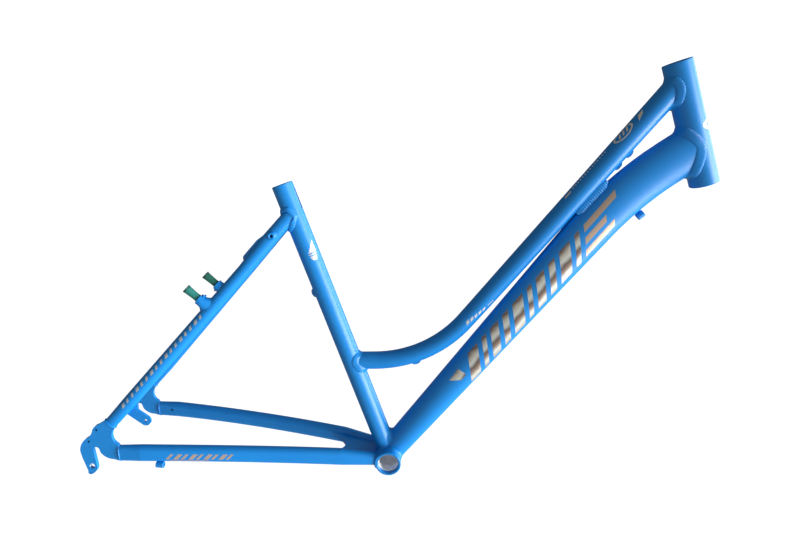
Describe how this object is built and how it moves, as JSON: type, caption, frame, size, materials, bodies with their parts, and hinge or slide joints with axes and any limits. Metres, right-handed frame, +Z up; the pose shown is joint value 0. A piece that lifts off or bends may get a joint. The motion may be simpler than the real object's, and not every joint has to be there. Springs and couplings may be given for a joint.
{
  "type": "bicycle frame",
  "caption": "Low step-through bicycle frame of welded round and oval tubes, with open rear dropouts, rim brake bosses under push-on caps, and rack and mudguard fixings.",
  "frame": {"origin": "centre of the bottom bracket shell, on its axis and in the frame's plane of symmetry", "axes": "+X forwards towards the head tube, +Y to the rider's left, +Z up; the drive side is at -Y"},
  "size_m": [0.9653, 0.154, 0.6326],
  "materials": {
    "paint": "satin",
    "stud_steel": "bare steel",
    "cap_near": "soft plastic",
    "cap_far": "soft plastic"
  },
  "bodies": {
    "frame": {"bottom_bracket_shell": "paint", "head_tube": "paint", "seat_tube": "paint", "down_tube": "paint", "top_tube": "paint", "weld_top_down": "paint", "chainstay_right": "paint", "chainstay_left": "paint", "seatstay_right": "paint", "seatstay_left": "paint", "dropout_right": "paint", "dropout_left": "paint", "brake_bridge": "paint", "chainstay_bridge": "paint", "brake_boss_right": "paint", "brake_boss_left": "paint", "rack_boss_right": "paint", "rack_boss_left": "paint", "chainguard_tab": "paint", "cable_stop_down_tube": "paint", "derailleur_cable_stop": "paint", "cable_guide_top_tube_lower": "paint", "cable_guide_top_tube_upper": "paint", "cable_guide_swoop": "paint", "cable_guide_seat_tube": "paint", "brake_stud_right": "stud_steel", "brake_stud_left": "stud_steel"},
    "cap_right": {"boss_cap_right": "cap_near"},
    "cap_left": {"boss_cap_left": "cap_far"}
  },
  "joints": [
    {"name": "cap_right_pull", "type": "slide", "parent": "frame", "child": "cap_right", "axis": [-0.7278, 0, 0.6858], "range_m": [0, 0.024]},
    {"name": "cap_left_pull", "type": "slide", "parent": "frame", "child": "cap_left", "axis": [-0.7278, 0, 0.6858], "range_m": [0, 0.024]}
  ]
}
